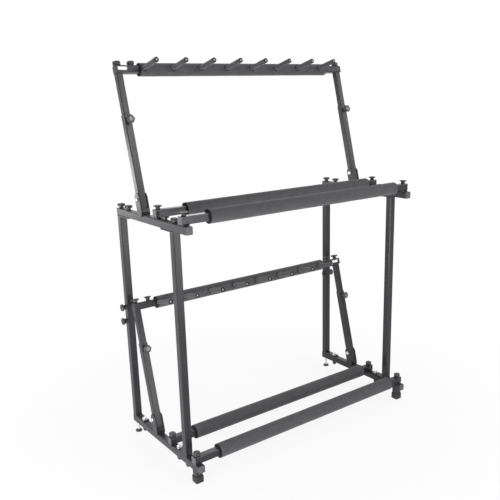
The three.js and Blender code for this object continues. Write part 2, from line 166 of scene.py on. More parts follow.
def finish_material(tree, shader):
    add_node(tree, "ShaderNodeOutputMaterial", links={"Surface": shader.outputs[0]})


def powder_coat():
    """Mild steel tube, sprayed with charcoal polyester powder and baked: satin, with a faint orange
    peel a little over a millimetre wide, and slow changes of tone where the film is thicker."""
    material, tree, place = new_material("charcoal_powder_coated_steel")
    film = add_node(
        tree, "ShaderNodeTexNoise", {"Scale": 1 / (90 * MM), "Detail": 3.0}, {"Vector": place},
    )
    peel = add_node(
        tree, "ShaderNodeTexNoise", {"Scale": 1 / (1.4 * MM), "Detail": 2.0}, {"Vector": place},
    )
    grain = add_node(
        tree, "ShaderNodeTexNoise", {"Scale": 1 / (5 * MM), "Detail": 4.0}, {"Vector": place},
    )
    mixed = add_node(
        tree, "ShaderNodeMix", {"data_type": "FLOAT", "Factor": 0.4},
        {"A": film.outputs["Fac"], "B": grain.outputs["Fac"]},
    )
    ramp = add_node(
        tree, "ShaderNodeValToRGB", links={"Fac": mixed.outputs["Result"]},
        stops=((0.3, "#222225"), (0.7, "#2c2c30")),
    )
    shine = add_node(
        tree, "ShaderNodeMapRange", {"From Min": 0.3, "From Max": 0.7, "To Min": 0.26, "To Max": 0.36},
        {"Value": grain.outputs["Fac"]},
    )
    bump = add_node(
        tree, "ShaderNodeBump", {"Strength": 0.25, "Distance": 0.25 * MM},
        {"Height": peel.outputs["Fac"]},
    )
    shader = add_node(
        tree, "ShaderNodeBsdfPrincipled",
        {"IOR": 1.5, "Specular IOR Level": 0.3, "Sheen Weight": 0.18, "Sheen Roughness": 0.35},
        {"Base Color": ramp.outputs["Color"], "Roughness": shine.outputs["Result"],
         "Normal": bump.outputs["Normal"]},
    )
    finish_material(tree, shader)
    return material


def foam_skin():
    """Extruded nitrile foam tube: its skin is matte and dry, dark grey, with closed cells about a
    millimetre wide. They are drawn at 3 mm so that they show at all, with a slow mottling over them."""
    material, tree, place = new_material("nitrile_foam_skin")
    cells = add_node(
        tree, "ShaderNodeTexVoronoi", {"Scale": 1 / (3 * MM), "Randomness": 1.0}, {"Vector": place},
    )
    mottle = add_node(
        tree, "ShaderNodeTexNoise", {"Scale": 1 / (22 * MM), "Detail": 5.0}, {"Vector": place},
    )
    mixed = add_node(
        tree, "ShaderNodeMix", {"data_type": "FLOAT", "Factor": 0.35},
        {"A": mottle.outputs["Fac"], "B": cells.outputs["Distance"]},
    )
    ramp = add_node(
        tree, "ShaderNodeValToRGB", links={"Fac": mixed.outputs["Result"]},
        stops=((0.3, "#3b3a3d"), (0.7, "#484749")),
    )
    bump = add_node(
        tree, "ShaderNodeBump", {"Strength": 0.45, "Distance": 0.5 * MM},
        {"Height": mixed.outputs["Result"]},
    )
    shader = add_node(
        tree, "ShaderNodeBsdfPrincipled",
        {"Roughness": 0.78, "IOR": 1.45, "Sheen Weight": 0.15, "Sheen Roughness": 0.5},
        {"Base Color": ramp.outputs["Color"], "Normal": bump.outputs["Normal"]},
    )
    finish_material(tree, shader)
    return material


def cut_foam_and_pocket_shade():
    """The same foam where it was cut to length: open cells that swallow the light, nearly black. In the
    pockets round the pegs the same near black is painted shade.
    """
    material, tree, place = new_material("cut_nitrile_foam_and_painted_pocket_shade")
    cells = add_node(
        tree, "ShaderNodeTexVoronoi", {"Scale": 1 / (1.6 * MM)}, {"Vector": place},
    )
    ramp = add_node(
        tree, "ShaderNodeValToRGB", links={"Fac": cells.outputs["Distance"]},
        stops=((0.1, "#0a0a0b"), (0.8, "#1c1c1d")),
    )
    bump = add_node(
        tree, "ShaderNodeBump", {"Strength": 0.8, "Distance": 0.8 * MM},
        {"Height": cells.outputs["Distance"]},
    )
    shader = add_node(
        tree, "ShaderNodeBsdfPrincipled", {"Roughness": 0.95, "IOR": 1.35},
        {"Base Color": ramp.outputs["Color"], "Normal": bump.outputs["Normal"]},
    )
    finish_material(tree, shader)
    return material


def moulded_nylon(name, low, high):
    """Injection-moulded nylon: satin, with a spark-eroded grain. The real grain is finer, and it is
    drawn at 0.6 mm so that a close view shows it."""
    material, tree, place = new_material(name)
    grain = add_node(
        tree, "ShaderNodeTexNoise", {"Scale": 1 / (0.6 * MM), "Detail": 2.0}, {"Vector": place},
    )
    tone = add_node(
        tree, "ShaderNodeTexNoise", {"Scale": 1 / (9 * MM), "Detail": 3.0}, {"Vector": place},
    )
    ramp = add_node(
        tree, "ShaderNodeValToRGB", links={"Fac": tone.outputs["Fac"]}, stops=((0.3, low), (0.7, high)),
    )
    bump = add_node(
        tree, "ShaderNodeBump", {"Strength": 0.3, "Distance": 0.15 * MM},
        {"Height": grain.outputs["Fac"]},
    )
    shader = add_node(
        tree, "ShaderNodeBsdfPrincipled", {"Roughness": 0.42, "IOR": 1.53},
        {"Base Color": ramp.outputs["Color"], "Normal": bump.outputs["Normal"]},
    )
    finish_material(tree, shader)
    return material


def soft_rubber():
    """Moulded black rubber: dull, slightly dusty on its raised grain."""
    material, tree, place = new_material("moulded_black_rubber")
    dust = add_node(
        tree, "ShaderNodeTexNoise", {"Scale": 1 / (6 * MM), "Detail": 6.0}, {"Vector": place},
    )
    ramp = add_node(
        tree, "ShaderNodeValToRGB", links={"Fac": dust.outputs["Fac"]},
        stops=((0.35, "#161617"), (0.75, "#262627")),
    )
    bump = add_node(
        tree, "ShaderNodeBump", {"Strength": 0.35, "Distance": 0.2 * MM},
        {"Height": dust.outputs["Fac"]},
    )
    shader = add_node(
        tree, "ShaderNodeBsdfPrincipled", {"Roughness": 0.72, "IOR": 1.52},
        {"Base Color": ramp.outputs["Color"], "Normal": bump.outputs["Normal"]},
    )
    finish_material(tree, shader)
    return material


def black_zinc():
    """Steel screws, electroplated with black zinc: dark metal, a little cloudy."""
    material, tree, place = new_material("black_zinc_plated_steel")
    clouds = add_node(
        tree, "ShaderNodeTexNoise", {"Scale": 1 / (4 * MM), "Detail": 5.0}, {"Vector": place},
    )
    ramp = add_node(
        tree, "ShaderNodeValToRGB", links={"Fac": clouds.outputs["Fac"]},
        stops=((0.3, "#2b2c2f"), (0.7, "#47484c")),
    )
    shine = add_node(
        tree, "ShaderNodeMapRange", {"From Min": 0.3, "From Max": 0.7, "To Min": 0.28, "To Max": 0.45},
        {"Value": clouds.outputs["Fac"]},
    )
    shader = add_node(
        tree, "ShaderNodeBsdfPrincipled", {"Metallic": 0.9},
        {"Base Color": ramp.outputs["Color"], "Roughness": shine.outputs["Result"]},
    )
    finish_material(tree, shader)
    return material


def bright_zinc():
    """Steel fasteners, electroplated with clear zinc: bright, bluish, faintly clouded, not quite a
    mirror."""
    material, tree, place = new_material("bright_zinc_plated_steel")
    clouds = add_node(
        tree, "ShaderNodeTexNoise", {"Scale": 1 / (3 * MM), "Detail": 5.0}, {"Vector": place},
    )
    ramp = add_node(
        tree, "ShaderNodeValToRGB", links={"Fac": clouds.outputs["Fac"]},
        stops=((0.3, "#c4c6ca"), (0.7, "#e2e4e8")),
    )
    shine = add_node(
        tree, "ShaderNodeMapRange", {"From Min": 0.3, "From Max": 0.7, "To Min": 0.22, "To Max": 0.36},
        {"Value": clouds.outputs["Fac"]},
    )
    shader = add_node(
        tree, "ShaderNodeBsdfPrincipled", {"Metallic": 1.0},
        {"Base Color": ramp.outputs["Color"], "Roughness": shine.outputs["Result"]},
    )
    finish_material(tree, shader)
    return material


def grey_nylon():
    """The cover disc of a lock knob: the same nylon in grey, rubbed a little smoother."""
    material, tree, place = new_material("moulded_grey_nylon")
    tone = add_node(
        tree, "ShaderNodeTexNoise", {"Scale": 1 / (5 * MM), "Detail": 3.0}, {"Vector": place},
    )
    ramp = add_node(
        tree, "ShaderNodeValToRGB", links={"Fac": tone.outputs["Fac"]},
        stops=((0.3, "#6c6a6d"), (0.7, "#7c7a7d")),
    )
    shader = add_node(
        tree, "ShaderNodeBsdfPrincipled", {"Roughness": 0.4, "IOR": 1.53},
        {"Base Color": ramp.outputs["Color"]},
    )
    finish_material(tree, shader)
    return material


def polythene_with_painted_light():
    """Tube plugs of charcoal polythene: waxy, with flow marks, and drawn lighter than the coating as
    painted light on the tube ends.
    """
    material, tree, place = new_material("charcoal_polythene_with_painted_light")
    flow = add_node(
        tree, "ShaderNodeTexNoise", {"Scale": 1 / (7 * MM), "Detail": 3.0}, {"Vector": place},
    )
    ramp = add_node(
        tree, "ShaderNodeValToRGB", links={"Fac": flow.outputs["Fac"]},
        stops=((0.3, "#48464a"), (0.7, "#545256")),
    )
    shader = add_node(
        tree, "ShaderNodeBsdfPrincipled", {"Roughness": 0.5, "IOR": 1.51},
        {"Base Color": ramp.outputs["Color"]},
    )
    finish_material(tree, shader)
    return material


def bare_rod_end():
    """The sawn end of a steel rod: grey, dulled by handling, and finely scratched across."""
    material, tree, place = new_material("sawn_bright_steel")
    squeezed = add_node(tree, "ShaderNodeMapping", {"Scale": (0.15, 1.0, 1.0)}, {"Vector": place})
    scratches = add_node(
        tree, "ShaderNodeTexNoise", {"Scale": 1 / (0.5 * MM), "Detail": 4.0},
        {"Vector": squeezed.outputs[0]},
    )
    ramp = add_node(
        tree, "ShaderNodeValToRGB", links={"Fac": scratches.outputs["Fac"]},
        stops=((0.3, "#77787b"), (0.7, "#9c9da0")),
    )
    shader = add_node(
        tree, "ShaderNodeBsdfPrincipled", {"Metallic": 0.35, "Roughness": 0.4},
        {"Base Color": ramp.outputs["Color"]},
    )
    finish_material(tree, shader)
    return material


def blank_vinyl():
    """Blank pale vinyl, self-adhesive and half gloss, slightly uneven from the tube below."""
    material, tree, place = new_material("blank_pale_vinyl")
    tone = add_node(
        tree, "ShaderNodeTexNoise", {"Scale": 1 / (12 * MM), "Detail": 2.0}, {"Vector": place},
    )
    ramp = add_node(
        tree, "ShaderNodeValToRGB", links={"Fac": tone.outputs["Fac"]},
        stops=((0.3, "#ebebee"), (0.7, "#f6f6f8")),
    )
    shader = add_node(
        tree, "ShaderNodeBsdfPrincipled", {"Roughness": 0.35, "IOR": 1.5},
        {"Base Color": ramp.outputs["Color"]},
    )
    finish_material(tree, shader)
    return material


STEEL = powder_coat()
FOAM = foam_skin()
# near-black cut foam, which in the peg pockets is painted shade
FOAM_CUT_AND_SHADE = cut_foam_and_pocket_shade()
NYLON = moulded_nylon("moulded_charcoal_nylon", "#232325", "#303032")
# the same nylon drawn darker as painted shade, for the knobs on the rails' tops
NYLON_SHADED = moulded_nylon("moulded_nylon_painted_shade", "#0f0f10", "#1a1a1b")
RUBBER = soft_rubber()
ZINC_BLACK = black_zinc()
ZINC_BRIGHT = bright_zinc()
NYLON_GREY = grey_nylon()
# plugs drawn lighter than the coating: painted light on the tube ends
PLUG_PAINTED_LIGHT = polythene_with_painted_light()
ROD_END = bare_rod_end()
VINYL = blank_vinyl()

# The finishes that stand for each material slot of the part, the CAD nodes' own one first
SLOT_FINISHES = {
    "coated_steel": (STEEL, ROD_END, VINYL),
    "foam": (FOAM, FOAM_CUT_AND_SHADE),
    "knob_plastic": (NYLON, NYLON_SHADED, NYLON_GREY, PLUG_PAINTED_LIGHT),
    "rubber": (RUBBER,),
    "zinc_hardware": (ZINC_BRIGHT, ZINC_BLACK),
}


# Tools


def select_only(piece):
    bpy.ops.object.select_all(action="DESELECT")
    piece.select_set(True)
    bpy.context.view_layer.objects.active = piece


def pick(piece, kind, test):
    """In edit mode, selects the faces, edges or vertices that pass the test."""
    bpy.ops.mesh.select_all(action="DESELECT")
    bpy.ops.mesh.select_mode(type=kind)
    mesh = bmesh.from_edit_mesh(piece.data)
    for part in {"FACE": mesh.faces, "EDGE": mesh.edges, "VERT": mesh.verts}[kind]:
        part.select_set(test(part))
    bmesh.update_edit_mesh(piece.data)


def use_modifier(piece, kind, **settings):
    """Adds a modifier and applies it."""
    select_only(piece)
    modifier = piece.modifiers.new(kind.title(), kind)
    for name, value in settings.items():
        setattr(modifier, name, value)
    bpy.ops.object.modifier_apply(modifier=modifier.name)


def smooth(piece, angle=32):
    select_only(piece)
    bpy.ops.object.shade_smooth_by_angle(angle=math.radians(angle))


def cut(piece, cutter):
    """Takes the cutter's form out of the piece, and removes the cutter."""
    use_modifier(piece, "BOOLEAN", object=cutter, operation="DIFFERENCE", solver="EXACT")
    bpy.data.objects.remove(cutter)


def turned(name, rings, sides):
    """A turned solid, standing up: rings are (radius, height) from the lowest to the highest, in mm."""
    radius, height = rings[0]
    bpy.ops.object.select_all(action="DESELECT")
    bpy.ops.mesh.primitive_circle_add(
        vertices=sides, radius=radius * MM, fill_type="NGON", location=(0, 0, height * MM))
    piece = bpy.context.object
    piece.name = name
    bpy.ops.object.transform_apply(location=True, rotation=True, scale=True)
    bpy.ops.object.mode_set(mode="EDIT")
    bpy.ops.mesh.select_all(action="SELECT")
    for next_radius, next_height in rings[1:]:
        bpy.ops.mesh.extrude_region_move(
            TRANSFORM_OT_translate={"value": (0, 0, (next_height - height) * MM)})
        share = next_radius / radius
        bpy.ops.transform.resize(value=(share, share, 1), center_override=(0, 0, 0))
        radius, height = next_radius, next_height
    bpy.ops.mesh.select_all(action="SELECT")
    bpy.ops.mesh.normals_make_consistent(inside=False)
    bpy.ops.object.mode_set(mode="OBJECT")
    return piece


def box(name, size, centre=(0, 0, 0)):
    """A block by its size and centre in mm, to be shaped further."""
    bpy.ops.object.select_all(action="DESELECT")
    bpy.ops.mesh.primitive_cube_add(size=1, location=[c * MM for c in centre])
    piece = bpy.context.object
    piece.name = name
    piece.scale = [s * MM for s in size]
    bpy.ops.object.transform_apply(location=True, rotation=True, scale=True)
    return piece


def round_upright_edges(piece, radius, steps=4):
    """Rounds the four edges of a box that stand along Z."""
    select_only(piece)
    bpy.ops.object.mode_set(mode="EDIT")

    def stands(edge):
        a, b = (v.co for v in edge.verts)
        return abs(a.x - b.x) + abs(a.y - b.y) < 0.01 * MM

    pick(piece, "EDGE", stands)
    bpy.ops.mesh.bevel(offset=radius * MM, segments=steps, affect="EDGES")
    bpy.ops.object.mode_set(mode="OBJECT")


def soften(piece, width, segments=2, angle=30):
    """Bevels the sharp edges, and shades the piece smooth."""
    use_modifier(
        piece, "BEVEL", width=width * MM, segments=segments, limit_method="ANGLE",
        angle_limit=math.radians(angle))
    smooth(piece)


def place_piece(pattern, name, matrix, body, material, *nodes):
    """A copy of the pattern with its own mesh, put in its place and dressed. Any CAD nodes given are
    the ones that it replaces."""
    piece = pattern.copy()
    piece.data = pattern.data.copy()
    bpy.context.collection.objects.link(piece)
    piece.name = piece.data.name = name
    piece.matrix_world = matrix
    select_only(piece)
    bpy.ops.object.transform_apply(location=True, rotation=True, scale=True)
    if not piece.data.materials:
        piece.data.materials.append(material)
    if nodes:
        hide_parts(*nodes)
    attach(piece, body)
    return piece


patterns = []


def pattern_of(piece):
    """Keeps the piece as a pattern for copies. All patterns are removed at the end."""
    patterns.append(piece)
    return piece


# Foam sleeves


def foam_tube(name, diameter, length, sides=64, rings=60, rim=1.6):
    """A foam tube standing on Z = 0, with softly rounded rims and a slightly uneven skin."""
    radius = diameter / 2
    piece = turned(name, [(radius, 0), (radius, length)], sides)
    select_only(piece)
    bpy.ops.object.mode_set(mode="EDIT")
    pick(piece, "FACE", lambda face: abs(face.normal.z) > 0.9)
    bpy.ops.mesh.inset(thickness=0.1 * MM)

    def rise(edge):
        return abs(edge.verts[0].co.z - edge.verts[1].co.z)

    def on_rim(edge):
        outside = all(abs(v.co.xy.length - radius * MM) < 0.01 * MM for v in edge.verts)
        return outside and rise(edge) < 0.01 * MM

    pick(piece, "EDGE", on_rim)
    bpy.ops.mesh.bevel(offset=rim * MM, segments=3, affect="EDGES")
    pick(piece, "EDGE", lambda edge: rise(edge) > length * MM / 2)
    bpy.ops.mesh.subdivide(number_cuts=rings)
    bpy.ops.object.mode_set(mode="OBJECT")
    waves = bpy.data.textures.new(name + "_waves", "CLOUDS")
    waves.noise_scale = 70 * MM
    use_modifier(
        piece, "DISPLACE", texture=waves, texture_coords="LOCAL", strength=0.9 * MM, mid_level=0.55)
    return piece


def paint_foam(piece):
    """Skin outside, open cells on the two cut ends and in the bore, and the same near black as painted
    shade in any pocket.
    """
    piece.data.materials.append(FOAM)
    piece.data.materials.append(FOAM_CUT_AND_SHADE)
    low = min(v.co.z for v in piece.data.vertices) + 3 * MM
    high = max(v.co.z for v in piece.data.vertices) - 3 * MM
    skin = max(v.co.xy.length for v in piece.data.vertices) * 0.93
    for face in piece.data.polygons:
        between_ends = low < face.center.z < high
        at_end = abs(face.normal.z) > 0.8 and not between_ends
        # the bore and the pockets take the near-black finish; in the pockets it is painted shade
        inward = face.center.xy.length < skin and between_ends
        face.material_index = 1 if at_end or inward else 0


def tube_bore(side, length):
    """A cutter for the square hole that a tube fills."""
    cutter = box("bore", (side, side, length + 20), (0, 0, length / 2))
    round_upright_edges(cutter, TUBE_CORNER, 2)
    return cutter


def bar_sleeve(tier):
    """The sleeve of a rest bar, bored for the bar's square tube."""
    piece = foam_tube(tier + "_rest_bar_sleeve", BAR_SLEEVE[tier], BAR_SLEEVE_LENGTH)
    cut(piece, tube_bore(TUBE + 2 * SEAT_GAP, BAR_SLEEVE_LENGTH))
    smooth(piece, 40)
    paint_foam(piece)
    return pattern_of(piece)


def crossbar_sleeve(tier, length, shift):
    """The crossbar's sleeve, with a shallow pocket round the root of each peg, lined with painted
    shade.
    """
    piece = foam_tube(tier + "_crossbar_foam_model", CROSSBAR_SLEEVE, length)
    cut(piece, tube_bore(INNER_TUBE + 2 * SEAT_GAP, length))
    for x in PEG_PLACES[tier]:
        pocket = turned("pocket", PEG_POCKET, 24)
        pocket.matrix_world = at(0, -PEG_POCKET_START, length / 2 + x - shift) @ FORWARD
        select_only(pocket)
        bpy.ops.object.transform_apply(location=True, rotation=True, scale=True)
        cut(piece, pocket)
    smooth(piece, 40)
    paint_foam(piece)
    return pattern_of(piece)


def peg_sleeve():
    """The foam tube of one peg, from the crossbar's sleeve to the rod's tip."""
    length = PEG_TIP - PEG_SLEEVE_START
    piece = foam_tube("peg_sleeve", PEG_SLEEVE, length, 32, 14, 1.8)
    bore = turned("bore", [(4.3, -5), (4.3, length + 5)], 24)
    cut(piece, bore)
    smooth(piece, 40)
    paint_foam(piece)
    return pattern_of(piece)


def add_foam():
    """The foam sleeves of the rest bars, crossbars and pegs, and the pegs' bare tips."""
    for tier in TIERS:
        rest_bar = bar_sleeve(tier)
        for row in BAR_Y:
            shift = SLEEVE_SHIFT[f"{tier}_{row}"]
            matrix = at(shift - BAR_SLEEVE_LENGTH / 2, BAR_Y[row], BAR_Z[tier]) @ TO_RIGHT
            name = f"{tier}_{row}_bar"
            piece = place_piece(rest_bar, name + "_sleeve", matrix, "root", FOAM, name + "_foam")
    peg = peg_sleeve()
    tip = pattern_of(turned("peg_tip", [(3.9, 0), (3.9, 0.5), (3.3, 0.9), (1.5, 1.1)], 24))
    soften(tip, 0.15)
    for tier in TIERS:
        key = f"{tier}_crossbar"
        length, shift = CROSSBAR_SLEEVE_LENGTH[tier], SLEEVE_SHIFT[key]
        middle = on_neck_rest(tier) @ at(0, -CROSSBAR_FORWARD, CROSSBAR_REACH[tier])
        # standing up, the sleeve's front is at -Y, and it stays there when it is laid along X
        matrix = middle @ at(shift - length / 2, 0, 0) @ TO_RIGHT
        sleeve = crossbar_sleeve(tier, length, shift)
        sleeve = place_piece(sleeve, key + "_sleeve", matrix, key, FOAM, key + "_foam")
        for number, x in enumerate(PEG_PLACES[tier], 1):
            along = middle @ at(x, 0, 0) @ FORWARD
            matrix = along @ at(0, 0, PEG_SLEEVE_START)
            piece = place_piece(peg, f"{tier}_peg_sleeve_{number}", matrix, key, FOAM, key + "_foam")
            matrix = along @ at(0, 0, PEG_TIP - 0.6)
            place_piece(tip, f"{tier}_peg_tip_{number}", matrix, key, ROD_END)


# Knobs


def scallop(piece, radius, low, high, lobes, depth):
    """Draws the rim in between its lobes, between two heights."""
    select_only(piece)
    bpy.ops.object.mode_set(mode="EDIT")
    # each lobe takes four vertices of the rim: its crest, a flank, the hollow and the other flank
    for share, places in ((1 - depth, (2,)), (1 - depth * 0.55, (1, 3))):
        def between(vertex):
            turn = math.atan2(vertex.co.y, vertex.co.x) / (2 * math.pi) * lobes * 4
            on_rim = vertex.co.xy.length > radius * 0.8 * MM and low * MM < vertex.co.z < high * MM
            return on_rim and round(turn) % 4 in places
        pick(piece, "VERT", between)
        bpy.ops.transform.resize(value=(share, share, 1), center_override=(0, 0, 0))
    bpy.ops.object.mode_set(mode="OBJECT")


def thumb_knob(name, head, head_height, collar, collar_height, lobes, depth=0.07, cone=1.6):
    """A moulded thumb knob on its seat: washer, collar, a head that widens over its cone, a dished top.
    Head and collar are diameters, and depth is the share of the radius that its hollows take."""
    rim, neck, top = head / 2, collar / 2, collar_height + head_height
    under = collar_height + cone
    rings = [
        (neck + 1.2, 0), (neck + 1.2, min(1.4, collar_height * 0.6)),
        (neck, min(1.8, collar_height * 0.8)), (neck, max(collar_height - 1.4, collar_height * 0.9)),
        (rim * 0.93, under), (rim, under + 0.8),
        (rim, top - 1.6), (rim * 0.9, top - 0.5), (rim * 0.62, top), (rim * 0.56, top - 0.9),
        (rim * 0.2, top - 0.9),
    ]
    piece = turned(name, rings, lobes * 4)
    scallop(piece, rim, under - 0.3, top - 0.2, lobes, depth)
    soften(piece, 0.35)
    return pattern_of(piece)


def cover_knob(name, head, head_height, collar, collar_height, lobes=12):
    """The same knob, drawn just over the solid that is one with a tube in CAD."""
    rim, neck, top = head / 2 * 1.075, collar / 2 + 0.3, collar_height + head_height + 0.4
    low = max(collar_height - 0.4, 1.7)
    piece = turned(name, [
        (neck + 1.2, 0), (neck + 1.2, 1.2), (neck, 1.6), (neck, low),
        (rim * 0.97, low), (rim, low + 0.9), (rim, top - 1.6), (rim * 0.93, top - 0.3),
        (rim * 0.62, top + 0.1), (rim * 0.56, top - 0.3), (rim * 0.2, top - 0.3),
    ], lobes * 4)
    scallop(piece, rim, low - 0.2, top - 0.5, lobes, 0.06)
    soften(piece, 0.35)
    return pattern_of(piece)


def capped_disc(piece):
    """The grey cover disc in the dished top of a knob is a second finish on its innermost faces."""
    piece.data.materials.append(NYLON)
    piece.data.materials.append(NYLON_GREY)
    top = max(v.co.z for v in piece.data.vertices)
    for face in piece.data.polygons:
        in_dish = face.center.xy.length < 7.2 * MM and face.center.z > top - 1.5 * MM
        face.material_index = 1 if in_dish else 0
    return piece


def cap_nut():
    """A domed cap nut under its washer, standing up."""
    washer = turned("washer", [(9.8, 0), (9.8, 2.1)], 40)
    hexagon = turned("hexagon", [(8.75, 2), (8.75, 10.4), (7.6, 11.2)], 6)
    dome = turned("dome", [(7.3, 10.8), (6.9, 13.2), (5.4, 15.6), (3, 17.1), (0.8, 17.5)], 32)
    return joined("cap_nut", washer, hexagon, dome)


def plate_nut():
    """The lower domed nut that stands on an end plate of a bottom rail."""
    washer = turned("washer", [(9.8, 0), (9.8, 2.1)], 40)
    hexagon = turned("hexagon", [(8.75, 2), (8.75, 7), (7.6, 7.8)], 6)
    dome = turned("dome", [(7.3, 7.4), (6.6, 9), (4.6, 10.1), (0.8, 10.5)], 32)
    return joined("plate_nut", washer, hexagon, dome)


def side_nut():
    """The weld nut on the inner face of a rear upright, standing up."""
    hexagon = turned("hexagon", [(9.5, 0), (9.5, 6.6), (8.6, 7.4), (5, 7.4)], 6)
    return joined("side_nut", hexagon)


def joined(name, *parts):
    """One pattern out of several solids, with their edges softened."""
    bpy.ops.object.select_all(action="DESELECT")
    for part in parts:
        part.select_set(True)
    bpy.context.view_layer.objects.active = parts[0]
    if len(parts) > 1:
        bpy.ops.object.join()
    parts[0].name = name
    soften(parts[0], 0.35)
    return pattern_of(parts[0])


def add_knobs():
    """All thumb knobs and nuts. Knobs that turn replace their CAD nodes, and the others cover solids
    that are one with a rail or an elbow."""
    bar_knobs = {
        "upper": thumb_knob("flat_bar_knob", 29, 5.5, 14, 7, lobes=8, cone=2.4),
        "lower": thumb_knob("squat_bar_knob", 24, 11, 18, 3.5, lobes=20, depth=0.05, cone=0.8),
    }
    lock_knob = capped_disc(thumb_knob("lock_knob", 28, 8, 15, 14, lobes=6, depth=0.12))
    side_knob = thumb_knob("side_knob", 26, 9, 17, 10, lobes=10)
    clamp_knobs = {
        "upper": thumb_knob("low_clamp_knob", 24, 11.5, 19, 3, lobes=16, depth=0.05),
        "lower": thumb_knob("tall_clamp_knob", 27, 6, 14, 9, lobes=8, cone=2.4),
    }
    elbow_knobs = {
        "upper": cover_knob("low_elbow_knob", 24, 11.5, 19, 3, lobes=16),
        "lower": cover_knob("tall_elbow_knob", 27, 6, 14, 9, lobes=8),
    }
    plate_knob = cover_knob("plate_knob", 25, 7, 14, 8)
    block_knob = cover_knob("corner_knob", 21, 13, 17, 2, lobes=10)
    dome, low_dome, weld_nut = cap_nut(), plate_nut(), side_nut()

    for side, sign in SIDES.items():
        x = sign * FRAME_X
        for tier in TIERS:
            for row, y in BAR_Y.items():
                name = f"{tier}_{row}_knob_{side}"
                matrix = at(x, y, BAR_Z[tier] + TUBE / 2 + SEAT_GAP)
                place_piece(bar_knobs[tier], name + "_grip", matrix, name, NYLON, name)
            neck_rest = on_neck_rest(tier)
            name = f"{tier}_lock_knob_{side}"
            matrix = neck_rest @ at(x, -TUBE / 2 - SEAT_GAP, LOCK_HEIGHT) @ FORWARD
            place_piece(lock_knob, name + "_grip", matrix, name, NYLON, name)
            name = f"{tier}_clamp_knob_{side}"
            top = CROSSBAR_REACH[tier] + TUBE / 2
            matrix = neck_rest @ at(sign * CLAMP_X, -CROSSBAR_FORWARD, top + SEAT_GAP)
            place_piece(clamp_knobs[tier], name + "_grip", matrix, name, NYLON, name)
            matrix = neck_rest @ at(x, 0, top)
            place_piece(elbow_knobs[tier], f"{tier}_elbow_knob_{side}", matrix, f"{tier}_risers", NYLON)

        top = RAIL_Z["upper"] + TUBE / 2
        foot = RAIL_Z["lower"] - TUBE / 2
        # these knobs on the rails' tops take the darker nylon, which is painted shade
        matrix = at(x, UPRIGHT_Y["front"], top)
        place_piece(block_knob, f"top_corner_knob_{side}", matrix, "root", NYLON_SHADED)
        matrix = at(x, UPRIGHT_Y["rear"], top)
        place_piece(plate_knob, f"top_rear_knob_{side}", matrix, "root", NYLON_SHADED)
        for row, y in PLATE_SCREW_Y.items():
            name = f"top_{row}_plate_knob_{side}"
            place_piece(plate_knob, name, at(x, y, top), "root", NYLON_SHADED)
            name = f"bottom_{row}_plate_nut_{side}"
            place_piece(low_dome, name, at(x, y, END_PLATE_TOP), "root", ZINC_BRIGHT)
            name = f"bottom_{row}_under_nut_{side}"
            place_piece(dome, name, at(x, y, foot) @ DOWN, "root", ZINC_BLACK)
        matrix = at(x, UPRIGHT_Y["front"], foot) @ DOWN
        place_piece(dome, f"bottom_corner_nut_{side}", matrix, "root", ZINC_BLACK)

    for name, side, z in SIDE_KNOBS:
        outer = SIDES[side] * (FRAME_X + TUBE / 2 + SEAT_GAP)
        matrix = at(outer, UPRIGHT_Y["rear"], z) @ OUTWARD[side]
        place_piece(side_knob, name + "_grip", matrix, name, NYLON, name)
        inner = SIDES[side] * (FRAME_X - TUBE / 2)
        matrix = at(inner, UPRIGHT_Y["rear"], z) @ INWARD[side]
        place_piece(weld_nut, name + "_weld_nut", matrix, "root", ZINC_BLACK)


# Caps, saddles, bushes


def add_plugs():
    """Moulded plugs that close the open tube ends, with a low crowned head."""
    head = box("tube_plug", (TUBE - 0.3, TUBE - 0.3, 0.8), (0, 0, 0.4))
    round_upright_edges(head, TUBE_CORNER)
    select_only(head)
    bpy.ops.object.mode_set(mode="EDIT")
    pick(head, "FACE", lambda face: face.normal.z > 0.9)
    bpy.ops.mesh.inset(thickness=2.2 * MM)
    bpy.ops.transform.translate(value=(0, 0, 0.4 * MM))
    bpy.ops.object.mode_set(mode="OBJECT")
    soften(head, 0.3, angle=20)
    plug = pattern_of(head)
    for side, sign in SIDES.items():
        for tier in TIERS:
            for row, y in BAR_Y.items():
                matrix = at(sign * STAND_HALF_WIDTH, y, BAR_Z[tier]) @ OUTWARD[side]
                place_piece(plug, f"{tier}_{row}_bar_plug_{side}", matrix, "root", PLUG_PAINTED_LIGHT)
            for end, facing, place in (("front", FORWARD, -1), ("rear", BACKWARD, 1)):
                matrix = at(sign * FRAME_X, place * RAIL_HALF_LENGTH, RAIL_Z[tier]) @ facing
                place_piece(plug, f"{tier}_rail_{end}_plug_{side}", matrix, "root", PLUG_PAINTED_LIGHT)


def add_saddles():
    """The four-footed spacers under the upper bars, drawn just over the bars' own feet."""
    size = (SADDLE_FOOT, SADDLE_FOOT, SADDLE_HEIGHT)
    corners = [(x, y) for x in (-SADDLE_FOOT, SADDLE_FOOT) for y in (-SADDLE_FOOT, SADDLE_FOOT)]
    feet = [box("saddle_foot", size, (x, y, -SADDLE_HEIGHT / 2)) for x, y in corners]
    for foot in feet:
        round_upright_edges(foot, 1.2)
    saddle = joined("saddle", *feet)
    for side, sign in SIDES.items():
        for row, y in BAR_Y.items():
            matrix = at(sign * FRAME_X, y, BAR_Z["upper"] - TUBE / 2)
            place_piece(saddle, f"upper_{row}_saddle_{side}", matrix, "root", NYLON)


def add_bracket_seats():
    """The low seat that closes each hinge bracket between its ears, under the foot of the arm."""
    seat = box("bracket_seat", (TUBE, 36, 6), (0, 0, 3))
    soften(seat, 0.6)
    seat = pattern_of(seat)
    for side, sign in SIDES.items():
        for tier in TIERS:
            matrix = at(sign * FRAME_X, BRACKET_SEAT_Y, RAIL_Z[tier] + TUBE / 2)
            place_piece(seat, f"{tier}_bracket_seat_{side}", matrix, "root", STEEL)


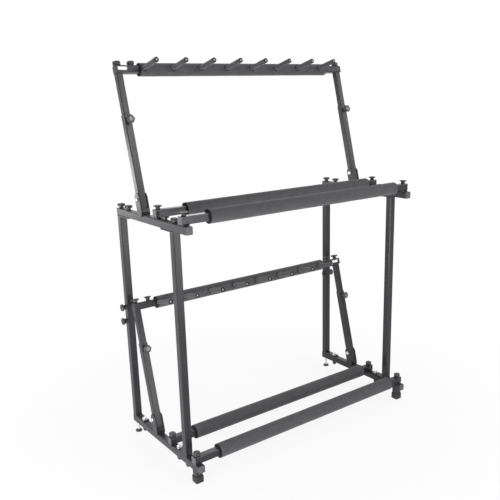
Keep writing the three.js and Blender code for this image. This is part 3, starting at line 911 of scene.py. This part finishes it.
def add_bushes():
    """A thin bush on top of each arm, in which the riser slides."""
    bush = box("arm_bush", (TUBE + 0.6, TUBE + 0.6, 3), (0, 0, 1.5))
    round_upright_edges(bush, TUBE_CORNER)
    bore = INNER_TUBE + 2 * SEAT_GAP
    cutter = box("bush_bore", (bore, bore, 20))
    round_upright_edges(cutter, TUBE_CORNER, 2)
    cut(bush, cutter)
    soften(bush, 0.4)
    bush = pattern_of(bush)
    for side, sign in SIDES.items():
        for tier in TIERS:
            matrix = on_neck_rest(tier) @ at(sign * FRAME_X, 0, ARM_TOP)
            place_piece(bush, f"{tier}_arm_bush_{side}", matrix, f"{tier}_arms", NYLON)


def add_pivots():
    """Button-head screws outside and self-locking nuts inside, on the neck rests' pivots."""
    screw = turned("pivot_screw", [
        (4, -33), (4, 0), (6.6, 0.05), (6.6, 1.4), (5.9, 3.2), (4.4, 4.7), (3, 5), (2.8, 2.4), (1, 2.4),
    ], 36)
    soften(screw, 0.3)
    screw = pattern_of(screw)
    washer = turned("washer", [(7.4, 0), (7.4, 1)], 36)
    hexagon = turned("hexagon", [(7.2, 0.9), (7.2, 4), (6.6, 4.4)], 6)
    ring = turned("ring", [(5.6, 4.2), (5.4, 5), (4.4, 5), (4.2, 4.5), (1, 4.5)], 32)
    nut = joined("pivot_nut", washer, hexagon, ring)
    for side, sign in SIDES.items():
        for tier in TIERS:
            name = f"{tier}_pivot_bolt_{side}"
            y, z = PIVOT_Y, PIVOT_Z[tier]
            matrix = at(sign * (FRAME_X + PIVOT_HEAD_SEAT), y, z) @ OUTWARD[side]
            place_piece(screw, name + "_screw", matrix, "root", ZINC_BRIGHT, name)
            matrix = at(sign * (FRAME_X - PIVOT_HEAD_SEAT), y, z) @ INWARD[side]
            place_piece(nut, name + "_nut", matrix, "root", ZINC_BRIGHT)


def add_labels():
    """Blank pale stickers on the fronts of two elbows."""
    sticker = box("sticker", (32, 10.5, 0.25), (0, 0, 0.125))
    round_upright_edges(sticker, 1.2)
    soften(sticker, 0.08, 1)
    sticker = pattern_of(sticker)
    for tier, x, side in (("upper", -467.3, "left"), ("lower", 462.5, "right")):
        front = -CROSSBAR_FORWARD - TUBE / 2
        matrix = on_neck_rest(tier) @ at(x, front, CROSSBAR_REACH[tier] + 1.5) @ FORWARD
        place_piece(sticker, f"{tier}_blank_sticker_{side}", matrix, f"{tier}_risers", VINYL)


# Feet


def add_feet():
    """Square rubber caps in front, and levelling feet with threaded stems and lock nuts behind."""
    cap = box("rubber_cap", (29.2, 29.2, 22), (0, 0, 11))
    round_upright_edges(cap, 3.4)
    select_only(cap)
    bpy.ops.object.mode_set(mode="EDIT")
    pick(cap, "FACE", lambda face: face.normal.z > 0.9)
    bpy.ops.mesh.inset(thickness=1.8 * MM)
    bpy.ops.mesh.extrude_region_move(TRANSFORM_OT_translate={"value": (0, 0, -14 * MM)})
    pick(cap, "FACE", lambda face: face.normal.z < -0.9 and face.calc_center_median().z < 1 * MM)
    bpy.ops.mesh.inset(thickness=4 * MM)
    bpy.ops.mesh.extrude_region_move(TRANSFORM_OT_translate={"value": (0, 0, 1.2 * MM)})
    bpy.ops.object.mode_set(mode="OBJECT")
    soften(cap, 0.9, 3)
    cap = pattern_of(cap)

    pad = turned("foot_pad", [
        (11.6, 0), (12.5, 0.9), (12.5, 4.2), (11.2, 5.6), (7.4, 7.4), (6.4, 8.4), (4.4, 8.6),
    ], 48)
    soften(pad, 0.3)
    pad = pattern_of(pad)
    rings = [(3.3, 8)]
    for turn in range(24):
        low = 8.2 + turn * THREAD_PITCH
        rings += [(3.4, low), (4, low + 0.5), (4, low + 0.7), (3.4, low + 1.2)]
    stem = turned("threaded_stem", rings + [(3.2, 40)], 28)
    smooth(stem, 20)
    stem = pattern_of(stem)
    nut = turned("lock_nut", [(7.4, 35.7), (8.6, 36.5), (8.6, 40.9), (7.4, 41.7)], 6)
    soften(nut, 0.3)
    nut = pattern_of(nut)

    for side, sign in SIDES.items():
        x = sign * FRAME_X
        name = f"front_foot_cap_{side}"
        place_piece(cap, name + "_moulded", at(x, BAR_Y["front"], 0), "root", RUBBER, name)
        name = f"rear_leveller_{side}"
        matrix = at(x, UPRIGHT_Y["rear"], 0)
        place_piece(pad, name + "_pad", matrix, name, NYLON, name)
        place_piece(stem, name + "_stem", matrix, name, ZINC_BRIGHT)
        place_piece(nut, name + "_nut", matrix, name, ZINC_BRIGHT)


# Frame's own nodes


def paint_frame():
    """Gives the CAD's own nodes the finish of their material slot."""
    slots = {part["node"]: part["material_slot"] for part in frame["record"]["subparts"]}
    for name, node in frame["nodes"].items():
        material = SLOT_FINISHES[slots[name]][0]
        if not node.material_slots:
            node.data.materials.append(material)
        for holder in node.material_slots:
            holder.material = material


# Camera, light and floor


def add_camera():
    """The photograph's viewpoint, found from the stand's straight edges."""
    data = bpy.data.cameras.new("camera")
    camera = bpy.data.objects.new("camera", data)
    bpy.context.collection.objects.link(camera)
    right = Vector((0.800061, -0.599463, -0.023380))
    up = Vector((0.171776, 0.191567, 0.966331))
    back = right.cross(up)
    turn = Matrix((right, up, back)).transposed().to_4x4()
    camera.matrix_world = Matrix.Translation((-1.4262, -1.8716, 1.2332)) @ turn
    data.sensor_width = SENSOR_WIDTH
    data.lens = FOCAL_LENGTH / PHOTO_SIDE * SENSOR_WIDTH
    data.shift_x, data.shift_y = (shift / PHOTO_SIDE for shift in FRAME_SHIFT)
    data.clip_end = 60
    bpy.context.scene.camera = camera


def add_lamp(name, place, target, size, power):
    """A softbox that faces its target. Lengths are in metres, and the power is in watts."""
    data = bpy.data.lights.new(name, "AREA")
    data.shape = "RECTANGLE"
    data.size, data.size_y = size
    data.energy = power
    lamp = bpy.data.objects.new(name, data)
    bpy.context.collection.objects.link(lamp)
    lamp.location = place
    lamp.rotation_euler = (Vector(target) - Vector(place)).to_track_quat("-Z", "Y").to_euler()


def white_background(tree):
    """1 for what the camera, a reflection or a clear surface sees, and 0 for light on a surface."""
    path = add_node(tree, "ShaderNodeLightPath")
    seen = add_node(
        tree, "ShaderNodeMath", {"operation": "MAXIMUM"},
        {0: path.outputs["Is Camera Ray"], 1: path.outputs["Is Glossy Ray"]})
    return add_node(
        tree, "ShaderNodeMath", {"operation": "MAXIMUM"},
        {0: seen.outputs[0], 1: path.outputs["Is Transmission Ray"]}).outputs[0]


def add_world():
    """White surroundings that light the stand less than they show."""
    world = bpy.data.worlds.new("studio")
    world.use_nodes = True
    tree = world.node_tree
    tree.nodes.clear()
    seen = white_background(tree)
    strength = add_node(
        tree, "ShaderNodeMapRange", {"To Min": 0.46, "To Max": 1.0}, {"Value": seen})
    surroundings = add_node(
        tree, "ShaderNodeBackground", {"Color": hex_colour("#ffffff")},
        {"Strength": strength.outputs["Result"]})
    add_node(tree, "ShaderNodeOutputWorld", links={"Surface": surroundings.outputs[0]})
    bpy.context.scene.world = world


def add_floor():
    """A plain white floor with the stand's faint shadow. Further out it turns into the white
    background."""
    bpy.ops.object.select_all(action="DESELECT")
    bpy.ops.mesh.primitive_plane_add(size=24, location=(0, 0, -0.0005))
    floor = bpy.context.object
    floor.name = "floor"
    material, tree, place = new_material("white_studio_floor")
    paper = add_node(tree, "ShaderNodeBsdfDiffuse", {"Color": hex_colour("#f6f6f6")})
    glow = add_node(tree, "ShaderNodeEmission", {"Color": hex_colour("#ffffff"), "Strength": 1.0})
    reach = add_node(tree, "ShaderNodeVectorMath", {"operation": "LENGTH"}, {0: place})
    nearness = add_node(
        tree, "ShaderNodeMapRange",
        {"From Min": 0.5, "From Max": 1.3, "To Min": 0.87, "To Max": 1.0},
        {"Value": reach.outputs["Value"]})
    share = add_node(
        tree, "ShaderNodeMath", {"operation": "MULTIPLY"},
        {0: white_background(tree), 1: nearness.outputs["Result"]})
    mixed = add_node(
        tree, "ShaderNodeMixShader",
        links={0: share.outputs[0], 1: paper.outputs[0], 2: glow.outputs[0]})
    finish_material(tree, mixed)
    floor.data.materials.append(material)


# Assembly

bpy.context.scene.view_settings.view_transform = "Standard"
add_camera()
add_world()
add_floor()
add_lamp("rear_left_softbox", (-1.8, 2.85, 0.62), (-0.48, 0.1, 0.95), (0.9, 0.34), 10)
add_lamp("rear_right_softbox", (1.5, 2.3, 1.6), (-0.2, -0.1, 0.5), (1.2, 0.9), 9)
add_lamp("front_right_softbox", (0.6, -2.4, 0.3), (-0.45, -0.16, 0.6), (0.9, 0.5), 12)
add_lamp("high_front_softbox", (0.65, -2.0, 2.12), (-0.47, 0.1, 1.1), (0.8, 0.7), 15)
add_lamp("high_right_softbox", (2.05, -1.38, 1.85), (0.48, 0.05, 1.15), (0.8, 0.8), 8)
add_lamp("front_left_softbox", (-1.95, -0.75, 0.2), (-0.49, -0.1, 0.1), (0.9, 0.34), 38)
add_lamp("top_softbox", (0.2, 0.5, 3.2), (0, 0, 0.6), (2.4, 1.6), 10)
paint_frame()
add_foam()
add_knobs()
add_plugs()
add_saddles()
add_bracket_seats()
add_bushes()
add_pivots()
add_labels()
add_feet()
for piece in patterns:
    bpy.data.objects.remove(piece)
